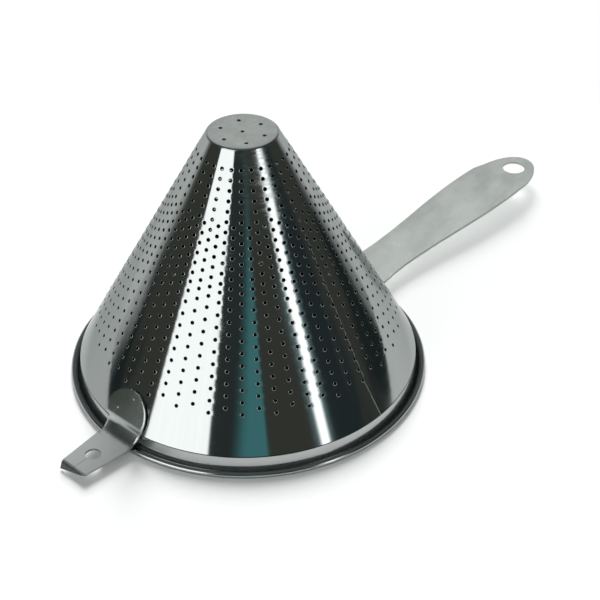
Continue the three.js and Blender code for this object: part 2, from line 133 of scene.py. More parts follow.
def cone_wall():
    """The wall as a grid over turn and slant. Its lines run through the middles of the holes and half way
    between them, so each hole has four cells of the grid for itself. They give way to faces from the cells'
    border to three rings of points: the foot of the burr, its crest at the hole's edge, and the edge inside.
    The inside of the wall is the same grid, moved in by the sheet's thickness. The seam is a thin ridge along
    one column, and drifts off it towards the foot. It swings out between the holes by a half wave of a sine,
    and is narrow where it passes one."""
    long_rows = np.concatenate([first + pitch * np.arange(rows) for first, pitch, rows in punch_runs]) * MM
    rows = np.empty(2 * len(long_rows) - 1)
    rows[0::2] = long_rows
    rows[1::2] = (long_rows[1:] + long_rows[:-1]) / 2
    between = (rows[1:] + rows[:-1]) / 2
    lines = np.empty(2 * len(rows) + 1)
    lines[1::2] = rows
    lines[2:-1:2] = between
    lines[0] = 2 * rows[0] - between[0]
    lines[-1] = 2 * rows[-1] - between[-1]
    plain_tip = np.linspace(shoulder_slant + tip_joint, lines[0], 5)[:-1]
    plain_foot = np.linspace(lines[-1], slant, 7)[1:]
    slants = np.concatenate([plain_tip, lines, plain_foot])
    turns = seam_turn + pi / columns * np.arange(2 * columns)

    grid = np.arange(len(slants) * len(turns)).reshape(len(slants), len(turns))
    row, column = np.meshgrid(np.arange(len(rows)), np.arange(columns), indexing="ij")
    short = (row % 2 == 1) & (row >= first_short_row)
    punched = np.where(column % 2 == 0, row % 2 == 0, short)
    line = len(plain_tip) + 1 + 2 * row[punched]
    place = 2 * column[punched]
    border_line = line[:, None] + [0, 1, 1, 1, 0, -1, -1, -1]
    border_place = place[:, None] + [1, 1, 0, -1, -1, -1, 0, 1]
    border = grid[border_line, border_place % len(turns)]
    plain = np.ones((len(slants) - 1, len(turns)), dtype=bool)
    plain[line[:, None] + [-1, -1, 0, 0], place[:, None] + [-1, 0, -1, 0]] = False

    spin = 2 * pi / hole_sides * np.arange(hole_sides)
    hole_turn, hole_slant = turns[place][:, None], slants[line][:, None]

    def ring(radius, out):
        round_by = radius * np.cos(spin) / (tip_radius + hole_slant * sin(half_angle))
        return on_cone(hole_turn + round_by, hole_slant + radius * np.sin(spin), out).reshape(-1, 3)

    def tilted(angle):
        around, down, out = wall_directions(hole_turn)
        from_middle = np.cos(spin)[:, None] * around + np.sin(spin)[:, None] * down
        return (cos(angle) * out - sin(angle) * from_middle).reshape(-1, 3)

    _, down, out = wall_directions(np.broadcast_to(turns, grid.shape))
    ring_points = [
        ring(hole_radius + burr_width, 0.0),
        ring(hole_radius, burr_height),
        ring(hole_radius, -sheet),
    ]
    ring_size = len(line) * hole_sides
    start, edge, inside_edge = (
        2 * grid.size + k * ring_size + np.arange(ring_size).reshape(-1, hole_sides) for k in range(3)
    )
    inside = grid + grid.size

    seam_slant = np.linspace(seam_start, slants[-1], seam_rows)[:, None]
    from_hole = np.abs(seam_slant - long_rows).min(axis=1, keepdims=True)
    between_holes = np.interp(seam_slant, long_rows, np.arange(len(long_rows))) % 1
    scallop = np.interp(seam_slant / MM, *np.transpose(seam_scallop)) * np.sin(pi * between_holes)
    seam_radius = tip_radius + seam_slant * sin(half_angle)
    seam_at = seam_turn + (np.interp(seam_slant / MM, *np.transpose(seam_drift)) + scallop) * MM / seam_radius
    section = 2 * pi / seam_sides * np.arange(seam_sides)
    seam_width = seam_half_width * np.clip((from_hole - hole_radius) / seam_half_width, 0.1, 1)
    seam_width *= np.clip((seam_slant - seam_start) / seam_taper, 0.2, 1)
    seam_round = seam_at + seam_width * np.cos(section) / seam_radius
    seam = on_cone(seam_round, seam_slant, seam_height * np.sin(section))
    seam_index = 2 * grid.size + 3 * ring_size + np.arange(seam[..., 0].size).reshape(seam.shape[:2])
    seam_around, _, seam_out = wall_directions(seam_at + 0 * section)
    seam_normals = (np.cos(section) / seam_half_width)[:, None] * seam_around
    seam_normals = seam_normals + (np.sin(section) / seam_height)[:, None] * seam_out
    seam_normals /= np.linalg.norm(seam_normals, axis=-1, keepdims=True)

    points = np.concatenate([
        on_cone(turns, slants[:, None]).reshape(-1, 3),
        on_cone(turns, slants[:, None], -sheet).reshape(-1, 3),
        *ring_points,
        seam.reshape(-1, 3),
    ])
    normals = np.concatenate([
        out.reshape(-1, 3),
        -out.reshape(-1, 3),
        tilted(0.0),
        tilted(-burr_slope),
        tilted(radians(90)),
        seam_normals.reshape(-1, 3),
    ])
    cut_normals = normals.copy()
    cut_normals[edge.ravel()] = tilted(radians(90))
    inside_normals = normals.copy()
    inside_normals[inside_edge.ravel()] = -np.repeat(wall_directions(hole_turn[:, 0])[2], hole_sides, axis=0)
    end_normals = np.concatenate([-down.reshape(-1, 3), -down.reshape(-1, 3)])
    foot_normals = -end_normals

    def round_hole(cells, circle):
        """Faces of five corners from each eighth of a hole's border to the circle of points inside it."""
        eighth = np.arange(8)
        first = 2 * eighth
        corners = [
            cells[:, eighth],
            circle[:, first],
            circle[:, first + 1],
            circle[:, (first + 2) % hole_sides],
            cells[:, (eighth + 1) % 8],
        ]
        return np.stack(corners, axis=-1).reshape(-1, 5)

    def ring_strip(outer_ring, inner_ring):
        """Faces between two rings of points round the same hole."""
        nxt = np.roll(np.arange(hole_sides), -1)
        corners = [outer_ring, inner_ring, inner_ring[:, nxt], outer_ring[:, nxt]]
        return np.stack(corners, axis=-1).reshape(-1, 4)

    cut = ring_strip(edge, inside_edge)
    shown = [
        grid_quads(grid, around=True)[plain.ravel()],
        round_hole(border, start),
        ring_strip(start, edge),
        grid_quads(seam_index, around=True)[:, ::-1],
    ]
    hidden = [
        grid_quads(inside, around=True)[plain.ravel()][:, ::-1],
        round_hole(border + grid.size, inside_edge)[:, ::-1],
    ]
    top_end = grid_quads(np.stack([inside[0], grid[0]]), around=True)
    foot_end = grid_quads(np.stack([grid[-1], inside[-1]]), around=True)
    seam_ends = np.stack([seam_index[0, ::-1], seam_index[-1]])
    corner_normals = [normals[faces] for faces in shown]
    corner_normals += [inside_normals[faces] for faces in hidden]
    corner_normals += [end_normals[top_end], foot_normals[foot_end], normals[seam_ends], cut_normals[cut]]
    face_sets = [*shown, *hidden, top_end, foot_end, seam_ends, cut]
    piece = make_piece("cone_wall_sheet", "cone_wall", points, face_sets, corner_normals)
    # The holes' cut walls and the inside of the cone take materials painted dark as shade.
    bright, weld, dull, sheared = range(4)
    finish_of = [bright, bright, bright, weld, dull, dull, bright, bright, weld, sheared]
    finishes = [np.full(len(faces), finish) for faces, finish in zip(face_sets, finish_of)]
    piece.data.polygons.foreach_set("material_index", np.concatenate(finishes))
    return piece


class Shade:
    """A value on a socket. Arithmetic on such values adds Math nodes."""

    def __init__(self, finish, socket):
        self.finish = finish
        self.socket = socket

    def __add__(self, other):
        return self.finish.math("ADD", self, other)

    def __sub__(self, other):
        return self.finish.math("SUBTRACT", self, other)

    def __rsub__(self, other):
        return self.finish.math("SUBTRACT", other, self)

    def __mul__(self, other):
        return self.finish.math("MULTIPLY", self, other)

    def __truediv__(self, other):
        return self.finish.math("DIVIDE", self, other)

    def __rtruediv__(self, other):
        return self.finish.math("DIVIDE", other, self)

    def __pow__(self, other):
        return self.finish.math("POWER", self, other)

    __radd__ = __add__
    __rmul__ = __mul__

    def step(self, start, end):
        """0 up to start and 1 from end on, smooth between them."""
        sockets = {"Value": self, "From Min": start, "From Max": end}
        return self.finish.add("MapRange", {"interpolation_type": "SMOOTHSTEP"}, sockets)

    def parts(self):
        """The three coordinates of a vector."""
        node = self.finish.add("SeparateXYZ", {}, {"Vector": self}).socket.node
        return [Shade(self.finish, socket) for socket in node.outputs]


class Finish:
    """The nodes of one material, or of the world."""

    def __init__(self, owner):
        owner.use_nodes = True
        self.tree = owner.node_tree
        self.tree.nodes.clear()

    def add(self, kind, settings=None, sockets=None, output=0):
        """Adds a node, with its settings first and then the values or links of its sockets."""
        node = self.tree.nodes.new("ShaderNode" + kind)
        for name, value in (settings or {}).items():
            setattr(node, name, value)
        for name, value in (sockets or {}).items():
            if isinstance(value, Shade):
                self.tree.links.new(value.socket, node.inputs[name])
            else:
                node.inputs[name].default_value = value
        return Shade(self, node.outputs[output]) if node.outputs else None

    def math(self, operation, *values):
        return self.add("Math", {"operation": operation}, dict(enumerate(values)))

    def vector(self, x, y, z):
        return self.add("CombineXYZ", {}, {"X": x, "Y": y, "Z": z})

    def place(self):
        """The three coordinates of a point of the piece."""
        return self.add("TexCoord", {}, {}, 3).parts()

    def noise(self, at, scale, detail=2.0, roughness=0.5):
        sockets = {"Vector": at, "Scale": scale, "Detail": detail, "Roughness": roughness}
        return self.add("TexNoise", {}, sockets)

    def blend(self, share, first, second):
        """A colour between two."""
        return self.add("Mix", {"data_type": "RGBA"}, {0: share, 6: first, 7: second}, 2)

    def steel(self, colour, roughness, height):
        """Bare steel, whose surface rises and falls by a height in metres. It stays grey at a glance."""
        bump = self.add("Bump", {}, {"Strength": 1.0, "Distance": 1.0, "Height": height})
        sockets = {"Base Color": colour, "Metallic": 1.0, "Roughness": roughness, "Normal": bump}
        sockets["Specular Tint"] = (0.7, 0.72, 0.71, 1)
        surface = self.add("BsdfPrincipled", {}, sockets)
        self.add("OutputMaterial", {}, {"Surface": surface})


dull_turn = radians(-117)
dull_heights = (98 * MM, 130 * MM)


def polished_sheet():
    """Polished stainless sheet: hairlines that run round the cone, slow waves from rolling it, and a few dull
    patches with scratches where it has been handled, the largest on one side of the tip."""
    material = bpy.data.materials.new("polished_sheet")
    finish = Finish(material)
    x, y, z = finish.place()
    x = x - axis_x
    radius = (x * x + y * y) ** 0.5
    around_x, around_y = x / radius, y / radius
    hairs = finish.noise(finish.vector(around_x * 14, around_y * 14, z * 1500), 1.0, 3.0)
    waves = finish.noise(finish.vector(around_x * 2.2, around_y * 2.2, z * 14), 1.0, 1.0)
    patches = finish.noise(finish.vector(x, y, z), 38.0, 4.0).step(0.5, 0.72)
    streaks = finish.noise(finish.vector(around_x * 60, around_y * 60, z * 6), 1.0, 2.0)
    colour = finish.blend(streaks, (0.46, 0.475, 0.47, 1), (0.50, 0.51, 0.505, 1))
    on_dull_side = around_x * cos(dull_turn) + around_y * sin(dull_turn)
    dull = z.step(*dull_heights) * on_dull_side.step(0.88, 0.97)
    lines = finish.noise(finish.vector(around_x * 4, around_y * 4, z * 1100), 1.0, 2.0).step(0.35, 0.75)
    slanted = finish.vector(around_x * 40 + z * 700, around_y * 40, z * 900)
    scratches = finish.noise(slanted, 1.0, 1.0).step(0.7, 0.73)
    roughness = 0.05 + 0.04 * patches + 0.03 * hairs
    roughness = roughness + (0.05 + 0.15 * lines) * dull + 0.12 * scratches * patches
    height = 0.0000011 * hairs + 0.00016 * waves
    finish.steel(colour, roughness, height)
    return material


def seam_weld():
    """The weld of the seam, ground flush and left dull."""
    material = bpy.data.materials.new("seam_weld")
    finish = Finish(material)
    x, y, z = finish.place()
    ground = finish.noise(finish.vector(x, y, z), 900.0, 2.0)
    colour = finish.blend(ground, (0.42, 0.43, 0.42, 1), (0.58, 0.59, 0.58, 1))
    finish.steel(colour, 0.45 + 0.2 * ground, 0.00003 * ground)
    return material


def painted_shade_punched_cut():
    """The sheared wall of a hole, rougher than the sheet and painted nearly black as the shade inside the
    hole.
    """
    material = bpy.data.materials.new("painted_shade_punched_cut")
    finish = Finish(material)
    x, y, z = finish.place()
    tears = finish.noise(finish.vector(x, y, z), 3000.0, 2.0)
    # Painted shade: the cut wall is coloured nearly black for the shade inside the hole.
    colour = finish.blend(tears, (0.03, 0.03, 0.03, 1), (0.08, 0.08, 0.08, 1))
    finish.steel(colour, 0.5 + 0.2 * tears, 0.00002 * tears)
    return material


def dull_inside_painted_shade():
    """The inside of the cone, which was never polished: dull sheet with faint clouds, painted dark as the
    shade inside the cone.
    """
    material = bpy.data.materials.new("dull_inside_painted_shade")
    finish = Finish(material)
    x, y, z = finish.place()
    clouds = finish.noise(finish.vector(x, y, z), 60.0, 3.0)
    # Painted shade: the sheet is coloured dark for the shade inside the cone.
    colour = finish.blend(clouds, (0.13, 0.135, 0.13, 1), (0.2, 0.205, 0.2, 1))
    finish.steel(colour, 0.45 + 0.1 * clouds, 0.00002 * clouds)
    return material


wall = cone_wall()
wall.data.materials.append(polished_sheet())
wall.data.materials.append(seam_weld())
wall.data.materials.append(dull_inside_painted_shade())
wall.data.materials.append(painted_shade_punched_cut())


# Tip cap
# A small disc pressed from the same sheet, with a rounded shoulder, a hole in the middle and six round it.
# It is welded into the top of the cone and left satin.

tip_hole_radius = 1.05 * MM
tip_hole_circle = 12.0 * MM
tip_holes = 6
tip_hole_turn = radians(-6.8)
flat_radius = tip_radius + shoulder_slant * sin(half_angle) - shoulder * cos(half_angle)
tip_hub = 4.0 * MM
tip_margin = 0.4 * MM
tip_sink = 0.5 * MM
tip_swell = radians(135)
sector_steps = 16


def pierce(flat, blocks, around=False):
    """The points and faces of a flat blank with round holes. The blank is a grid of points, and each hole has
    a block of its cells for itself. That block is filled with rings that pass from the hole's circle to
    the block's border in equal directions from the middle."""
    rows, columns_across = flat.shape[:2]
    grid = np.arange(rows * columns_across).reshape(rows, columns_across)
    if around:
        grid = np.concatenate([grid, grid[:, :1]], axis=1)
    whole = np.ones((grid.shape[0] - 1, grid.shape[1] - 1), dtype=bool)
    points = [flat.reshape(-1, 2)]
    faces = []
    count = rows * columns_across
    for (top, bottom, left, right), middle, radius in blocks:
        whole[top:bottom, left:right] = False
        loop = np.concatenate([
            grid[top:bottom, left],
            grid[bottom, left:right],
            grid[bottom:top:-1, right],
            grid[top, right:left:-1],
        ])
        border = points[0][loop]
        way = border - middle
        circle = middle + radius * way / np.linalg.norm(way, axis=1, keepdims=True)
        share = np.array([0.0, 0.1, 0.3, 0.6])[:, None, None]
        points.append((circle + share * (border - circle)).reshape(-1, 2))
        index = count + np.arange(len(share) * len(loop)).reshape(len(share), -1)
        count += index.size
        faces.append(grid_quads(np.concatenate([index, loop[None]]), around=True))
    return np.concatenate(points), [grid_quads(grid)[whole.ravel()], *faces]


def thicken(piece, thickness, edge, edge_finish=0):
    """Gives a sheet its thickness, behind its front, and rounds its edges. These take the piece's material of
    the given number."""
    solid = piece.modifiers.new("thickness", "SOLIDIFY")
    solid.thickness = thickness
    solid.offset = -1
    solid.use_even_offset = True
    solid.material_offset_rim = edge_finish
    rounded = piece.modifiers.new("rounded_edges", "BEVEL")
    rounded.width = edge
    rounded.segments = 2
    rounded.limit_method = "ANGLE"
    rounded.angle_limit = radians(40)
    rounded.harden_normals = True


def tip_cap():
    """A disc, whose edge is drawn over a round shoulder: past the flat, the distance from the middle becomes
    the length along the shoulder's arc. Inside the shoulder it is sunk a little: the depth follows a sine of
    the share of its area that lies outside a point, past the sine's crest, so that the middle is sunk less
    than the holes round it."""
    arc = shoulder * (pi / 2 - half_angle)
    inner = np.linspace(tip_hole_radius, tip_hub, 4)
    middle = np.linspace(inner[-1], flat_radius - tip_margin, 9)[1:]
    outer = flat_radius + arc * np.linspace(0, 1, 9)
    from_middle = np.concatenate([inner, middle, outer])
    steps = tip_holes * sector_steps
    turn = tip_hole_turn + 2 * pi * (np.arange(steps) + 0.5 * sector_steps) / steps
    flat = from_middle[:, None, None] * np.stack([np.cos(turn), np.sin(turn)], axis=-1)
    blocks = []
    for hole in range(tip_holes):
        at = tip_hole_turn + 2 * pi * (hole + 1) / tip_holes
        middle_point = tip_hole_circle * np.array([cos(at), sin(at)])
        left = hole * sector_steps
        cells = (len(inner) - 1, len(inner) + len(middle) - 1, left, left + sector_steps)
        blocks.append((cells, middle_point, tip_hole_radius))
    points, face_sets = pierce(flat, blocks, around=True)
    reach = np.linalg.norm(points, axis=1)
    bend = np.maximum(reach - flat_radius, 0) / shoulder
    radius = np.minimum(reach, flat_radius) + shoulder * np.sin(bend)
    x, y = (points * (radius / reach)[:, None]).T
    from_edge = 1 - np.minimum(reach / flat_radius, 1) ** 2
    sunk = tip_sink * np.sin(tip_swell * from_edge) / sin(tip_swell)
    drawn = np.stack([axis_x + x, y, tip_height - shoulder * (1 - np.cos(bend)) - sunk], axis=-1)
    piece = make_piece("tip_cap_disc", "tip_cap", drawn, face_sets)
    thicken(piece, sheet, 0.05 * MM)
    return piece


def satin_disc():
    """Satin stainless: an even fine grain, soft clouds of tone and thin scratches. The shoulder was polished
    together with the cone."""
    material = bpy.data.materials.new("satin_disc")
    finish = Finish(material)
    x, y, z = finish.place()
    from_axis = ((x - axis_x) * (x - axis_x) + y * y) ** 0.5
    polished = from_axis.step(flat_radius + 0.6 * MM, flat_radius + 1.3 * MM)
    grain = finish.noise(finish.vector(x, y, z), 2600.0, 2.0)
    clouds = finish.noise(finish.vector(x, y, z), 160.0, 3.0, 0.6)
    scratches = finish.noise(finish.vector(x * 30 + y * 420, y * 30 - x * 160, z), 1.0, 1.0).step(0.66, 0.72)
    satin = finish.blend(clouds.step(0.3, 0.7), (0.50, 0.525, 0.505, 1), (0.57, 0.595, 0.575, 1))
    colour = finish.blend(polished, satin, (0.48, 0.50, 0.49, 1))
    roughness = 0.56 + 0.1 * grain - 0.1 * scratches - 0.44 * polished
    finish.steel(colour, roughness, 0.000012 * grain + 0.00006 * clouds)
    return material


cap = tip_cap()
cap.data.materials.append(satin_disc())


# Rim ring and its wire
# A strip of sheet bent into a flared collar that carries the cone. Its lower edge turns outwards on the
# table and is rolled up round a wire into an open bead, which stiffens the rim.

rim_radius = 100.0 * MM
bead_radius = 1.75 * MM
bead_turn = radians(270)
collar_flare = radians(10)
collar_bend = 1.0 * MM
ring_steps = 240


def arc_line(middle, radius, first, last, steps):
    """Points on a circle in the section of a turned piece: distance from the axis, and height."""
    angle = np.linspace(first, last, steps + 1)
    return np.stack([middle[0] + radius * np.cos(angle), middle[1] + radius * np.sin(angle)], axis=-1)


def turned(section):
    """A section carried round the cone's axis."""
    turn = 2 * pi / ring_steps * np.arange(ring_steps)
    radius, height = section[:, :1], section[:, 1:]
    return np.stack([axis_x + radius * np.cos(turn), radius * np.sin(turn), height + 0 * turn], axis=-1)


def rim_ring():
    """The face of the strip that lies inside the collar, under the rim and outside the bead, turned. The
    collar leans out from the cone's foot by the flare."""
    collar_top = foot_height - sheet * sin(half_angle) - weld_gap
    outer_bend = collar_bend + sheet

    def collar(height, out):
        return foot_radius + (foot_height - height) * tan(collar_flare) + out / cos(collar_flare)

    upright = np.linspace(collar_top, outer_bend * (1 - sin(collar_flare)), 7)[:-1]
    bend = (collar(outer_bend, collar_bend), outer_bend)
    bead = (rim_radius - bead_radius, bead_radius)
    section = np.concatenate([
        np.stack([collar(upright, -sheet), upright], axis=-1),
        arc_line(bend, outer_bend, pi + collar_flare, 1.5 * pi, 10),
        arc_line(bead, bead_radius, -pi / 2, bead_turn - pi / 2, 36),
    ])
    points = turned(section)
    index = np.arange(points[..., 0].size).reshape(points.shape[:2])
    faces = grid_quads(index, around=True)[:, ::-1]
    piece = make_piece("rim_ring_strip", "rim_ring", points.reshape(-1, 3), [faces])
    thicken(piece, sheet, 0.12 * MM)
    return piece


def rim_wire():
    """A round wire along the middle of the bead."""
    bead = (rim_radius - bead_radius, bead_radius)
    section = arc_line(bead, bead_radius - sheet - weld_gap, 0, 2 * pi, 12)[:-1]
    points = turned(section)
    index = np.arange(points[..., 0].size).reshape(points.shape[:2])
    closed = np.concatenate([index, index[:1]])
    faces = grid_quads(closed, around=True)[:, ::-1]
    return make_piece("rim_wire_coil", "rim_wire", points.reshape(-1, 3), [faces])


def bright_strip():
    """Bright rolled strip: lines that run round the ring, from the rollers, and faint dull patches. Down in
    the gutter between the collar and the bead no polishing wheel reached it."""
    material = bpy.data.materials.new("bright_rim")
    finish = Finish(material)
    x, y, z = finish.place()
    x = x - axis_x
    radius = (x * x + y * y) ** 0.5
    lines = finish.noise(finish.vector(x / radius * 3, y / radius * 3, z * 3000 + radius * 3000), 1.0, 2.0)
    patches = finish.noise(finish.vector(x, y, z), 60.0, 3.0)
    colour = finish.blend(patches, (0.48, 0.495, 0.49, 1), (0.53, 0.545, 0.54, 1))
    gutter = (1 - z.step(1.5 * MM, 4.5 * MM)) * (1 - radius.step(rim_radius - 3 * MM, rim_radius - 1.5 * MM))
    roughness = 0.1 + 0.06 * lines + 0.05 * patches + 0.4 * gutter
    finish.steel(colour, roughness, 0.000002 * lines + 0.00003 * patches)
    return material


def drawn_wire():
    """Plain drawn wire with fine lines along it."""
    material = bpy.data.materials.new("drawn_wire")
    finish = Finish(material)
    x, y, z = finish.place()
    lines = finish.noise(finish.vector(x, y, z * 40), 400.0, 2.0)
    colour = finish.blend(lines, (0.48, 0.49, 0.49, 1), (0.6, 0.61, 0.61, 1))
    finish.steel(colour, 0.35 + 0.1 * lines, 0.000004 * lines)
    return material


rim = rim_ring()
rim.data.materials.append(bright_strip())
wire = rim_wire()
wire.data.materials.append(drawn_wire())


# Rest hook
# A tab stamped from thicker sheet, which lies on the edge of a pan. Its round head is spot-welded to the
# cone, a curved neck carries it out level over the rim, it has a small hole, and its end is turned down.

head_start = 0.1
head_steps = 17
hook_sheet = 1.2 * MM
hook_head_radius = 14.0 * MM
hook_head_rise = 20.3 * MM
hook_neck_rise = 3.0 * MM
hook_neck_slope = radians(-76)
hook_neck_width = 25.8 * MM
hook_fold = 1.0 * MM
hook_tab_reach = 128.0 * MM
hook_tab_end_width = 17.4 * MM
hook_lip_radius = 1.2 * MM
hook_lip_slope = radians(-58)
hook_lip_end = 0.4 * MM
hook_lip_end_width = 16.0 * MM
hook_lip_skew = 0.4
hook_hole_radius = 4.2 * MM
hook_hole_from_end = 12.0 * MM
hook_edge_roll = 1.3 * MM
hook_edge_drop = 0.5 * MM
hook_neck_sag = 1.3 * MM
wall_slope = half_angle - pi / 2
# Spot welds on the head: the length from its top, and the distance across
weld_marks = ((12.8 * MM, -6.5 * MM), (4.2 * MM, 2.2 * MM))
weld_mark_radius = 0.6 * MM


def bent_line(start, knots):
    """The underside of a bent strip, in the upright plane through the axis. Its heading changes in straight
    lines between knots (length, heading), and its place is the running sum of its heading. Gives a
    function of the length."""
    ends, headings = np.array(knots).T
    length = np.linspace(ends[0], ends[-1], 6000)
    heading = np.interp(length, ends, headings)
    step = length[1] - length[0]

    def run(rate):
        return np.concatenate([[0], np.cumsum((rate[1:] + rate[:-1]) / 2)]) * step

    x = start[0] + run(np.cos(heading))
    z = start[1] + run(np.sin(heading))

    def at(where):
        return np.interp(where, length, x), np.interp(where, length, z), np.interp(where, length, heading)

    return at


def bend_blank(points, at, thickness, lift):
    """Bends a flat blank (length, across) along a line. Its front stands off the line by the thickness and
    the lift, square to the line."""
    x, z, heading = at(points[:, 0])
    height = thickness + lift
    return np.stack([x - height * np.sin(heading), points[:, 1], z + height * np.cos(heading)], axis=-1)


def smooth(value, start, end):
    """0 up to start and 1 from end on, smooth between them."""
    part = np.clip((value - start) / (end - start), 0, 1)
    return part * part * (3 - 2 * part)


def cone_spot(rise, out):
    """Distance from the axis, and height, of a point at a slant above the foot."""
    point = on_cone(0.0, slant - rise, out)
    return point[0] - axis_x, point[2]


def round_head(radius):
    """Lengths from the top of a round head to its widest place, closer near the top: the radius less its
    cosine, in equal angles. The first angle leaves a short flat on top."""
    return radius * (1 - np.cos(np.linspace(head_start, pi / 2, head_steps)[:-1]))


def rest_hook():
    """A strip along its bent line. It is as wide as the round head at first, then as the neck, narrows along
    the tab, and rounds off towards the turned-down end. The neck starts steep and curves out evenly into the
    tab: over an even bend from one heading to another, the strip drops by its length times the difference of
    their cosines over the difference of the headings, and runs out likewise by the sines. Its edges roll
    down as far as the tab, and the neck sags on one side."""
    head_end = hook_head_rise - hook_neck_rise
    start = cone_spot(hook_head_rise, weld_gap)
    underside = 2 * bead_radius + weld_gap
    neck_height = start[1] + head_end * sin(wall_slope) + hook_fold * sin(hook_neck_slope)
    neck_length = (neck_height - underside) * hook_neck_slope / (cos(hook_neck_slope) - 1)
    neck_start = head_end + hook_fold
    neck_end = neck_start + neck_length
    neck_run = neck_length * sin(hook_neck_slope) / hook_neck_slope
    neck_end_x = start[0] + head_end * cos(wall_slope) + hook_fold * cos(hook_neck_slope) + neck_run
    tab_end = neck_end + hook_tab_reach - neck_end_x
    lip_start = tab_end - hook_lip_radius * hook_lip_slope
    lip_height = underside - hook_lip_radius * (1 - cos(hook_lip_slope)) - hook_lip_end
    lip_end = lip_start + lip_height / -sin(hook_lip_slope)
    at = bent_line(start, [
        (0, wall_slope),
        (head_end - hook_fold, wall_slope),
        (neck_start, hook_neck_slope),
        (neck_end, 0),
        (tab_end, 0),
        (lip_start, hook_lip_slope),
        (lip_end, hook_lip_slope),
    ])
    hole_at = tab_end - hook_hole_from_end
    block = (neck_end + 1 * MM, tab_end - 1 * MM)
    rows = np.concatenate([
        round_head(hook_head_radius),
        np.linspace(hook_head_radius, block[0], 40)[:-1],
        np.linspace(block[0], block[1], 14),
        np.linspace(block[1], lip_end, 16)[1:],
    ])
    head = np.sqrt(np.maximum(hook_head_radius ** 2 - (hook_head_radius - rows) ** 2, 0))
    along = np.clip((rows - neck_start) / (tab_end - neck_start), 0, 1)
    tab = (hook_neck_width + (hook_tab_end_width - hook_neck_width) * along) / 2
    past_tab = np.clip((rows - tab_end) / (lip_end - tab_end), 0, 1)
    lip = (hook_tab_end_width - hook_lip_end_width) / 2 * past_tab ** 1.5
    half_width = np.where(rows < hook_head_radius, head, np.maximum(head, tab - lip))
    across = np.sin(np.linspace(-pi / 2, pi / 2, 41))
    skewed = rows[:, None] - np.maximum(rows - tab_end, 0)[:, None] * hook_lip_skew * (1 + across)
    flat = np.stack(np.broadcast_arrays(skewed, half_width[:, None] * across), axis=-1)
    first, last = np.searchsorted(rows, block)
    left, right = np.searchsorted(across, [-0.8, 0.8])
    blocks = [((first, last, left, right), np.array([hole_at, 0.0]), hook_hole_radius)]
    points, face_sets = pierce(flat, blocks)
    length, off = points.T
    half = np.interp(length, rows, half_width)
    from_side = half - np.abs(off)
    sag_side = np.clip((-off / half - 0.2) / 0.8, 0, 1) ** 2
    rolled = 1 - smooth(length, neck_end - 3 * MM, neck_end)
    near_side = np.clip(1 - from_side / hook_edge_roll, 0, 1) ** 2
    lift = -hook_edge_drop * rolled * (1 - 0.7 * sag_side) * near_side
    to_neck = smooth(length, neck_start - 1 * MM, neck_start + 3 * MM)
    lift -= hook_neck_sag * sag_side * to_neck * (1 - smooth(length, neck_end - 5 * MM, neck_end))
    bent = bend_blank(points, at, hook_sheet, lift)
    bent[:, :2] *= -1
    bent[:, 0] += axis_x
    piece = make_piece("rest_hook_tab", "rest_hook", bent, face_sets)
    thicken(piece, hook_sheet, 0.5 * MM)
    return piece


def bright_stamping():
    """Bright stamped sheet: polishing lines along the hook, cloudy tone and a few scratches. The head has the
    dents of two spot welds. The tab is duller from wear, with a deep scratch from its hole to its end, whose
    groove is painted dark as shade."""
    material = bpy.data.materials.new("bright_stamping")
    finish = Finish(material)
    x, y, z = finish.place()
    at = finish.vector(x, y, z)
    lines = finish.noise(finish.vector(x * 120, y * 2400, z * 120), 1.0, 2.0)
    clouds = finish.noise(at, 90.0, 3.0)
    scratches = finish.noise(finish.vector(x * 40 - y * 500, y * 60, z * 60), 1.0, 1.0).step(0.66, 0.7)
    colour = finish.blend(clouds, (0.48, 0.505, 0.495, 1), (0.56, 0.585, 0.57, 1))
    tab_top = 2 * bead_radius + weld_gap + hook_sheet
    on_tab = z.step(tab_top - 0.8 * MM, tab_top - 0.2 * MM) * (1 - z.step(tab_top, tab_top + 1.2 * MM))
    past_hole = axis_x - hook_tab_reach + hook_hole_from_end - hook_hole_radius - x
    off_scratch_shade = finish.math("ABSOLUTE", y + 0.0012 * clouds - 0.0006)
    # Painted shade: the scratch's groove is coloured nearly black for the shade in it.
    scratch_shade = (1 - off_scratch_shade.step(0.08 * MM, 0.25 * MM)) * past_hole.step(0.0, 0.5 * MM)
    colour = finish.blend(0.7 * scratch_shade * on_tab, colour, (0.08, 0.085, 0.085, 1))
    marks = 0.0
    for along, off in weld_marks:
        mark_height = cone_spot(hook_head_rise - along, weld_gap + hook_sheet)[1]
        up = (z - mark_height) / cos(half_angle)
        from_mark = (up * up + (y + off) * (y + off)) ** 0.5
        marks = marks + (1 - from_mark.step(0.3 * weld_mark_radius, weld_mark_radius))
    worn = 1 - y.step(-16 * MM, 10 * MM)
    roughness = 0.14 + 0.05 * lines + 0.08 * clouds + 0.07 * worn + 0.3 * on_tab + 0.3 * marks
    height = 0.0000014 * lines + 0.00003 * clouds - 0.000006 * scratches - 0.0001 * marks
    finish.steel(colour, roughness, height)
    return material


hook = rest_hook()
hook.data.materials.append(bright_stamping())


# Handle
# A paddle stamped from one piece of sheet. Its round root is welded to the cone, and it bends out over the
# bead, narrows to a neck, widens to a grip that is slightly dished, and ends round with a hole to hang on.

handle_sheet = 1.5 * MM
root_radius = 17.0 * MM
root_rise = 24.0 * MM
handle_bend = 10.0 * MM
handle_slope = radians(1.5)
over_bead = 2.0 * MM
handle_length = 174.0 * MM
neck_width = 28.6 * MM
neck_from_rim = 25.0 * MM
grip_width = 39.0 * MM
grip_from_end = 54.0 * MM
end_power = 3
end_flat = 1.2 * MM
dish_depth = 1.4 * MM
dish_fall = 14.0 * MM
hang_hole_radius = 7.4 * MM
hang_hole_from_end = 14.5 * MM


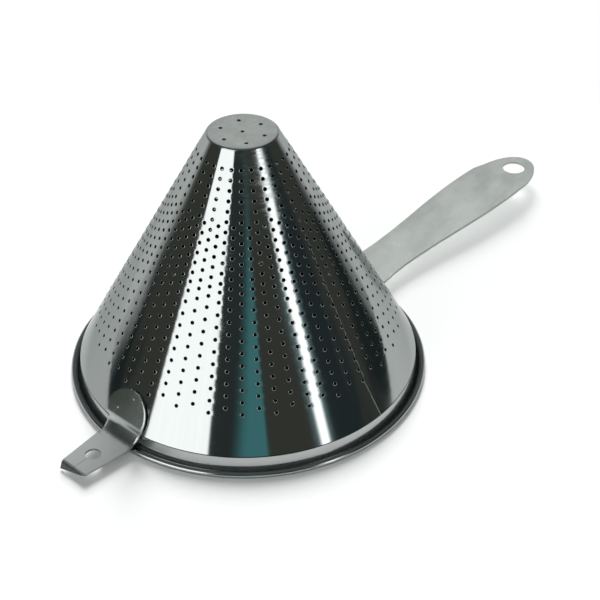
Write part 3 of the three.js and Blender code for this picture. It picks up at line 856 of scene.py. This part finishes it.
def handle():
    """A strip along its bent line. It is as wide as the round root at first, eases to the neck and out to the
    grip, and its end follows a rounded power curve. Its edges rise by the dish along the grip."""
    start = cone_spot(root_rise, weld_gap)
    bend_drop = handle_bend * (cos(handle_slope) - cos(wall_slope))
    bend_start = (start[1] - 2 * bead_radius - over_bead - bend_drop) / cos(half_angle)
    bend_end = bend_start + handle_bend * (handle_slope - wall_slope)
    end_x = rim_radius + handle_length
    turn_out = handle_bend * (sin(handle_slope) - sin(wall_slope))
    straight_x = start[0] + bend_start * cos(wall_slope) + turn_out
    end = bend_end + (end_x - straight_x) / cos(handle_slope)
    at = bent_line(start, [
        (0, wall_slope),
        (bend_start, wall_slope),
        (bend_end, handle_slope),
        (end, handle_slope),
    ])
    grip = end - grip_from_end
    hole_at = end - hang_hole_from_end
    block = hole_at - 13 * MM
    neck = bend_end + (rim_radius + neck_from_rim - straight_x) / cos(handle_slope)
    past_block = np.arcsin((block - grip) / grip_from_end)
    rows = np.concatenate([
        round_head(root_radius),
        np.linspace(root_radius, bend_start, 6)[:-1],
        np.linspace(bend_start, bend_end, 14)[:-1],
        np.linspace(bend_end, grip, 70)[:-1],
        np.linspace(grip, block, 24)[:-1],
        grip + grip_from_end * np.sin(np.linspace(past_block, pi / 2, 36)),
    ])
    root = np.sqrt(np.maximum(root_radius ** 2 - (root_radius - rows) ** 2, 0))
    to_neck = root_radius + (neck_width / 2 - root_radius) * smooth(rows, root_radius, neck)
    to_grip = neck_width / 2 + (grip_width - neck_width) / 2 * smooth(rows, neck, grip)
    past = np.clip((rows - grip) / grip_from_end, 0, 1)
    rounded = np.maximum(grip_width * np.sqrt(1 - past ** end_power), end_flat) / 2
    half_width = np.select([rows < root_radius, rows < neck, rows < grip], [root, to_neck, to_grip], rounded)
    across = np.linspace(-1, 1, 33)
    flat = np.stack(np.broadcast_arrays(rows[:, None], half_width[:, None] * across), axis=-1)
    first = np.searchsorted(rows, block)
    blocks = [((first, len(rows) - 1, 0, len(across) - 1), np.array([hole_at, 0.0]), hang_hole_radius)]
    points, face_sets = pierce(flat, blocks)
    share = points[:, 1] / np.interp(points[:, 0], rows, half_width)
    dish_from = bend_end + (rim_radius - straight_x)
    dish_end = hole_at - hang_hole_radius
    rise = smooth(points[:, 0], dish_from, grip)
    fall = 1 - smooth(points[:, 0], dish_end - dish_fall, dish_end)
    bent = bend_blank(points, at, handle_sheet, dish_depth * np.minimum(rise, fall) * share ** 2)
    bent[:, 0] += axis_x
    piece = make_piece("handle_paddle", "handle", bent, face_sets)
    thicken(piece, handle_sheet, 0.4 * MM, 1)
    return piece


def satin_paddle():
    """Satin stainless: a fine grain along the handle, mottled tone with slow dents from the stamping, and
    thin scratches across it."""
    material = bpy.data.materials.new("satin_paddle")
    finish = Finish(material)
    x, y, z = finish.place()
    grain = finish.noise(finish.vector(x * 0.12, y, z), 2600.0, 2.0)
    clouds = finish.noise(finish.vector(x * 0.6 - y * 0.3, y, z), 42.0, 4.0, 0.6)
    dents = finish.noise(finish.vector(x * 0.5 + y * 0.8, y, z), 26.0, 1.0)
    scratches = finish.noise(finish.vector(x * 30 + y * 420, y * 30 - x * 160, z), 1.0, 1.0).step(0.66, 0.72)
    colour = finish.blend(clouds.step(0.3, 0.7), (0.61, 0.64, 0.61, 1), (0.81, 0.84, 0.81, 1))
    roughness = 0.54 + 0.1 * grain + 0.06 * clouds - 0.1 * scratches
    finish.steel(colour, roughness, 0.000012 * grain + 0.00006 * clouds + 0.0006 * dents)
    return material


def sheared_edge():
    """The sheared edge of the paddle and of its hole, rough and duller than its faces."""
    material = bpy.data.materials.new("sheared_edge")
    finish = Finish(material)
    x, y, z = finish.place()
    tears = finish.noise(finish.vector(x, y, z * 0.2), 1500.0, 2.0)
    colour = finish.blend(tears, (0.46, 0.475, 0.46, 1), (0.64, 0.655, 0.64, 1))
    finish.steel(colour, 0.45 + 0.15 * tears, 0.00002 * tears)
    return material


paddle = handle()
paddle.data.materials.append(satin_paddle())
paddle.data.materials.append(sheared_edge())


# Studio
# A plain pale floor, lit from behind by a high lamp and a low one, and a lamp for the satin pieces. In
# front, the dark room holds two upright white panels and a teal screen, which the cone shows as stripes.

view_turn = radians(-45.15)
view_right = (cos(view_turn), sin(view_turn))
view_near = (sin(view_turn), -cos(view_turn))
floor_radius = 0.4
floor_drop = 0.2 * MM
floor_lift = 0.12

# Each lamp: its height over the horizon, its spread and its strength
high_lamp = (radians(48), radians(20), 1.5)
low_lamp = (radians(30), radians(28), 3.0)
satin_lamp = (radians(45), radians(58), 0.74)


def floor():
    """A level round table just under the rim, pale and dull. It is lifted to white where it is seen. Inside
    the cone it is painted black as the cone's shadow, and mirrored in the steel it is painted greyer as shade
    away from the rim, more so on the left."""
    turn = 2 * pi / 128 * np.arange(128)
    radius = np.array([0.05, 0.2, 1.0])[:, None] * floor_radius
    level = 0 * radius * turn - floor_drop
    points = np.stack([axis_x + radius * np.cos(turn), radius * np.sin(turn), level], axis=-1)
    index = np.arange(radius.size * turn.size).reshape(radius.size, turn.size)
    faces = grid_quads(index, around=True).tolist() + [index[0].tolist()]
    mesh = bpy.data.meshes.new("floor")
    mesh.from_pydata(points.reshape(-1, 3).tolist(), [], faces)
    piece = bpy.data.objects.new("floor", mesh)
    bpy.context.scene.collection.objects.link(piece)
    material = bpy.data.materials.new("pale_floor")
    finish = Finish(material)
    x, y, _ = finish.place()
    x = x - axis_x
    from_axis = (x * x + y * y) ** 0.5
    outside = from_axis.step(rim_radius * 0.94, rim_radius * 0.97)
    path = finish.add("LightPath").socket.node
    seen = Shade(finish, path.outputs["Is Camera Ray"])
    mirrored = Shade(finish, path.outputs["Is Glossy Ray"])
    # Painted shade: seen in the steel, the floor is coloured greyer away from the rim and more so on the
    # left.
    to_right = (x * view_right[0] + y * view_right[1]).step(-0.05, 0.05)
    grey = finish.blend(to_right, (0.62, 0.64, 0.63, 1), (0.72, 0.74, 0.73, 1))
    away = mirrored * from_axis.step(rim_radius * 1.1, rim_radius * 1.4)
    colour = finish.blend(away, (0.88, 0.88, 0.88, 1), grey)
    lift = outside * seen * floor_lift
    sockets = {
        # Painted shadow: inside the rim the floor is coloured nearly black for the cone's shadow, which no
        # lamp casts.
        "Base Color": finish.blend(outside, (0.004, 0.004, 0.004, 1), colour),
        "Roughness": 0.9,
        "Specular IOR Level": 0.0,
        "Emission Color": finish.add("CombineColor", {}, {"Red": lift, "Green": lift, "Blue": lift}),
        "Emission Strength": 1.0,
    }
    finish.add("OutputMaterial", {}, {"Surface": finish.add("BsdfPrincipled", {}, sockets)})
    piece.data.materials.append(material)
    return piece


def group(name, pieces):
    """A collection of pieces for a lamp."""
    collection = bpy.data.collections.new(name)
    for piece in pieces:
        collection.objects.link(piece)
    return collection


def lamp(name, height, spread, strength):
    """A wide soft light from far behind the object, at a height over the horizon."""
    light = bpy.data.lights.new(name, "SUN")
    light.angle = spread
    light.energy = strength
    placed = bpy.data.objects.new(name, light)
    placed.rotation_euler = (pi / 2 - height, 0.0, view_turn + pi)
    bpy.context.scene.collection.objects.link(placed)
    return placed


def lamps(table):
    """The high lamp throws the shadow of the rim and the hook, and the low one a longer shadow of these and
    the handle. Both light only the floor, and the third lamp only the satin pieces and the hook."""
    high = lamp("high_lamp", *high_lamp)
    high.light_linking.receiver_collection = group("table", (table,))
    high.light_linking.blocker_collection = group("rim_and_hook", (rim, wire, hook))
    low = lamp("low_lamp", *low_lamp)
    low.light_linking.receiver_collection = high.light_linking.receiver_collection
    low.light_linking.blocker_collection = group("rim_hook_and_handle", (rim, wire, hook, paddle))
    satin = lamp("satin_lamp", *satin_lamp)
    satin.light_linking.receiver_collection = group("satin_pieces", (cap, hook, paddle))


def studio_light():
    """Light by direction: a bearing round the object from the viewer's side, positive to the right, and a
    height above the floor, both in degrees. Each band of bearings is a panel or a part of the room."""
    world = bpy.data.worlds.new("studio")
    bpy.context.scene.world = world
    finish = Finish(world)
    x, y, z = finish.add("TexCoord").parts()
    right = x * view_right[0] + y * view_right[1]
    near = x * view_near[0] + y * view_near[1]
    bearing = finish.math("ARCTAN2", right, near) * degrees(1)
    height = finish.math("ARCSINE", z) * degrees(1)

    def band(first, last, soft):
        return bearing.step(first - soft, first + soft) * (1 - bearing.step(last - soft, last + soft))

    colour = finish.blend(band(-28, 2, 6), (0.057, 0.061, 0.052, 1), (0.034, 0.043, 0.043, 1))
    colour = finish.blend(band(50, 78, 6), colour, (0.025, 0.037, 0.040, 1))
    teal_left = height * 0.9 - 21.5
    teal_right = 15.5 - height * 0.38
    teal = bearing.step(teal_left - 6, teal_left + 6) * (1 - bearing.step(teal_right - 1, teal_right + 1))
    colour = finish.blend(teal * (1 - height.step(19, 30)), colour, (0.077, 0.26, 0.275, 1))
    panel = band(-65.8, -25.9, 0.8) * height.step(2, 6) * (1 - height.step(38, 44))
    colour = finish.blend(panel, colour, (1.88, 1.93, 1.92, 1))
    half_lamp = 3.2 + 1.8 * height.step(8, 16) + 7 * height.step(15.5, 23.5)
    off_lamp = finish.math("ABSOLUTE", bearing - 45.7 - 3.5 * height.step(18, 26)) / half_lamp
    halo = 0.5 * (1 - off_lamp.step(0.5, 2.0)) * (1 - height.step(17, 22))
    colour = finish.blend(halo, colour, (0.3, 0.5, 0.55, 1))
    stripe = (1 - off_lamp.step(0.35, 1.0)) * (1 - height.step(32, 38))
    colour = finish.blend(stripe, colour, (2.3, 2.4, 2.4, 1))
    ragged = finish.noise(finish.vector(bearing * 0.15, height * 0.35, 0.0), 1.0, 3.0)
    side = finish.math("ABSOLUTE", bearing)
    low = side.step(52, 68) * (1 - (height + 14 * ragged - 7).step(-1, 4))
    colour = finish.blend(low, colour, (0.016, 0.025, 0.025, 1))
    smear = band(70, 79, 3) * height.step(2, 6) * (1 - height.step(8, 12)) * ragged.step(0.45, 0.6)
    colour = finish.blend(smear, colour, (0.06, 0.065, 0.058, 1))
    edge = bearing + 14 * ragged - 7
    behind = 1 - edge.step(-121, -101) * (1 - edge.step(110, 134))
    pale = finish.blend(height.step(6, 20), (0.72, 0.75, 0.74, 1), (0.12, 0.13, 0.14, 1))
    colour = finish.blend(behind, colour, pale)
    colour = finish.blend(height.step(46, 58), colour, (0.11, 0.12, 0.12, 1))
    path = finish.add("LightPath").socket.node
    seen = Shade(finish, path.outputs["Is Camera Ray"])
    colour = finish.blend(seen, colour, (1, 1, 1, 1))
    light = finish.add("Background", {}, {"Color": colour, "Strength": 1.0})
    finish.add("OutputWorld", {}, {"Surface": light})


lamps(floor())
studio_light()


# Camera
# A long lens, looking down at the strainer from the side between its hook and its seam.

camera_distance = 0.612
camera_height = 0.48843
camera_pitch = radians(36.219)
camera_turn = radians(2.727)
camera_lens = 82.35

camera = bpy.data.objects.new("camera", bpy.data.cameras.new("camera"))
camera.data.sensor_width = 36.0
camera.data.lens = camera_lens
camera.data.clip_end = 20.0
camera.location = (axis_x + camera_distance * view_near[0], camera_distance * view_near[1], camera_height)
camera.rotation_euler = (pi / 2 - camera_pitch, 0.0, view_turn - camera_turn)
bpy.context.scene.collection.objects.link(camera)
bpy.context.scene.camera = camera
bpy.context.scene.view_settings.view_transform = "Standard"
